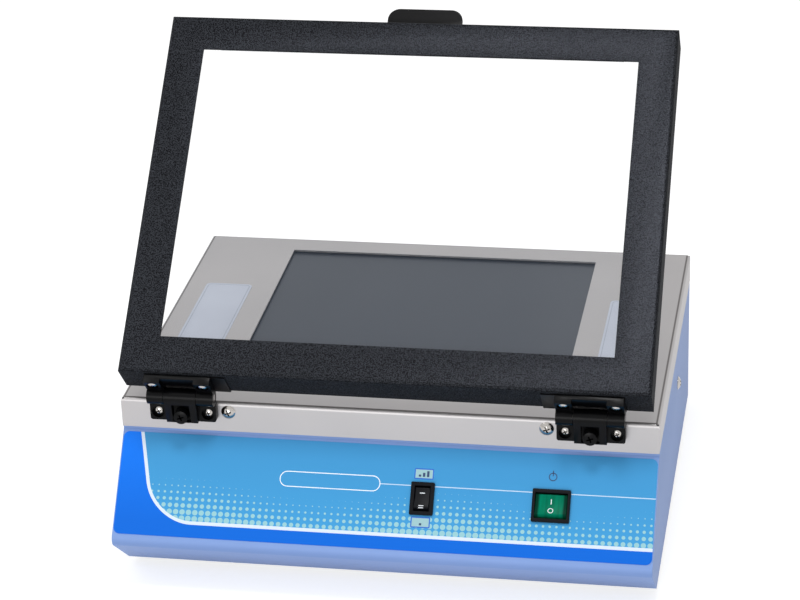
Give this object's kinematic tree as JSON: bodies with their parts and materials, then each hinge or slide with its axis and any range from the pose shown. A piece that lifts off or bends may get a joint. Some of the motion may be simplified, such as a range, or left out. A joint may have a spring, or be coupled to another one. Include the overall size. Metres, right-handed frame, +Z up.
{
  "type": "uv transilluminator",
  "caption": "Bench-top ultraviolet transilluminator: blue sheet-metal housing with sloping switch panel, stainless top with dark filter, and a black lid with a clear window hinged in front.",
  "frame": {"origin": "on the bench, under the middle of the instrument's width and of its depth with the lid open as stored", "axes": "+X to the user's right, +Y away from the user towards the rear, +Z up"},
  "size_m": [0.3494, 0.3042, 0.3152],
  "materials": {
    "housing_paint": "satin lavender-blue stoved enamel",
    "lid_paint": "fine-textured black powder coat",
    "hinge_paint": "satin black coat",
    "stainless": "cold-rolled stainless sheet, dull",
    "zinc": "bright zinc-plated steel",
    "plain_steel": "folded galvanised steel",
    "filter": "dark band-pass filter glass, polished",
    "rubber": "moulded black rubber",
    "film": "printed polyester film, semi-gloss",
    "black_plastic": "moulded black nylon",
    "green_plastic": "green see-through polycarbonate",
    "clear_plastic": "clear ultraviolet-absorbing acrylic sheet",
    "white_plastic": "moulded white thermoplastic",
    "brass": "plain brass",
    "tube_glass": "phosphor-coated tube glass",
    "fuse_glass": "clear glass with metal ends",
    "aluminium": "bright rolled aluminium"
  },
  "bodies": {
    "base": {"base_housing": "housing_paint", "bottom_plate": "plain_steel", "feet": "rubber", "foot_screws": "zinc", "bottom_screws": "zinc", "top_cover": "stainless", "cover_screws": "zinc", "side_screws": "zinc", "filter_glass": "filter", "filter_gasket": "rubber", "filter_retainer": "plain_steel", "retainer_studs": "zinc", "panel_film": "film", "intensity_switch": "black_plastic", "intensity_terminals": "brass", "power_switch": "black_plastic", "power_terminals": "brass", "mains_inlet": "black_plastic", "inlet_pins": "brass", "inlet_screws": "zinc", "fan_frame": "black_plastic", "fan_guard": "zinc", "fan_screws": "zinc", "uv_tubes": "tube_glass", "tube_caps": "aluminium", "lamp_sockets": "white_plastic", "reflector_tray": "aluminium", "tray_posts": "zinc", "ballasts": "aluminium", "ballast_screws": "zinc", "terminal_block": "white_plastic", "earth_stud": "brass", "base_backing_plates": "plain_steel", "left_base_leaf": "hinge_paint", "right_base_leaf": "hinge_paint", "base_leaf_screws": "zinc"},
    "lid": {"lid_frame": "lid_paint", "lid_pane": "clear_plastic", "pane_strips": "plain_steel", "strip_screws": "zinc", "lid_tab": "hinge_paint", "tab_screws": "zinc", "hinge_spacers": "hinge_paint", "lid_backing_plates": "plain_steel", "left_lid_leaf": "hinge_paint", "left_hinge_pin": "zinc", "right_lid_leaf": "hinge_paint", "right_hinge_pin": "zinc", "lid_leaf_screws": "zinc"},
    "intensity_rocker": {"intensity_rocker": "black_plastic"},
    "power_rocker": {"power_rocker": "green_plastic"},
    "left_torque_screw": {"left_torque_screw": "hinge_paint"},
    "right_torque_screw": {"right_torque_screw": "hinge_paint"},
    "fuse_drawer": {"fuse_drawer": "black_plastic", "fuse": "fuse_glass"},
    "fan_rotor": {"fan_rotor": "black_plastic"}
  },
  "joints": [
    {"name": "lid_hinge", "type": "hinge", "parent": "base", "child": "lid", "pos_m": [0, -0.1142, 0.1235], "axis": [1, 0, 0], "range_deg": [-41.3, 68.7]},
    {"name": "intensity_rocker_turn", "type": "hinge", "parent": "base", "child": "intensity_rocker", "pos_m": [0.0255, -0.12668, 0.06549], "axis": [1, 0, 0], "range_deg": [0, 20]},
    {"name": "power_rocker_turn", "type": "hinge", "parent": "base", "child": "power_rocker", "pos_m": [0.107, -0.12668, 0.06549], "axis": [1, 0, 0], "range_deg": [0, 20]},
    {"name": "left_torque_turn", "type": "hinge", "parent": "base", "child": "left_torque_screw", "pos_m": [-0.1303, -0.1142, 0.111], "axis": [0, 1, 0], "range_deg": [-180, 180]},
    {"name": "right_torque_turn", "type": "hinge", "parent": "base", "child": "right_torque_screw", "pos_m": [0.1303, -0.1142, 0.111], "axis": [0, 1, 0], "range_deg": [-180, 180]},
    {"name": "fuse_drawer_slide", "type": "slide", "parent": "base", "child": "fuse_drawer", "axis": [0, 1, 0], "range_m": [0, 0.02]},
    {"name": "fan_spin", "type": "hinge", "parent": "base", "child": "fan_rotor", "pos_m": [-0.07, 0.13, 0.034], "axis": [0, 1, 0], "continuous": true}
  ]
}
